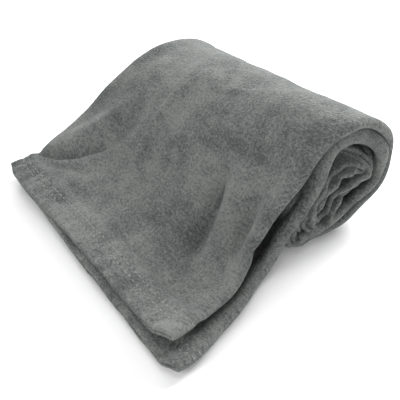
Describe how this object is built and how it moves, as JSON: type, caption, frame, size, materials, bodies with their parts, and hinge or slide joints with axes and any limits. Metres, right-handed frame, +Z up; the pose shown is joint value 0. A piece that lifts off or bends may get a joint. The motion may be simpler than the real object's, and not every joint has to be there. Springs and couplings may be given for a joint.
{
  "type": "folded throw blanket",
  "caption": "Grey fleece throw, folded lengthwise and rolled up, with its free stitched end let out in front as a flap that lifts.",
  "frame": {"origin": "on the floor, under the middle of the bounding box", "axes": "+X along the roll towards the end that shows the folded edges, +Y from the free hem to the roll, +Z up"},
  "size_m": [0.35, 0.32, 0.128],
  "materials": {
    "fleece": "soft short pile, matt with a pale sheen at grazing angles",
    "thread": "satin polyester sewing thread"
  },
  "bodies": {
    "roll": {"outer_wrap_upper_leaf": "fleece", "outer_wrap_lower_leaf": "fleece", "inner_windings_upper_leaf": "fleece", "inner_windings_lower_leaf": "fleece", "core_upper_hem": "fleece", "core_lower_hem": "fleece", "core_hem_stitching": "thread"},
    "flap": {"flap_upper_leaf": "fleece", "flap_lower_leaf": "fleece", "flap_upper_hem": "fleece", "flap_lower_hem": "fleece", "upper_hem_stitching": "thread", "lower_hem_stitching": "thread"}
  },
  "joints": [
    {"name": "flap_lift", "type": "hinge", "parent": "roll", "child": "flap", "pos_m": [0, 0.092, 0.128], "axis": [-1, 0, 0], "range_deg": [0, 100]}
  ]
}
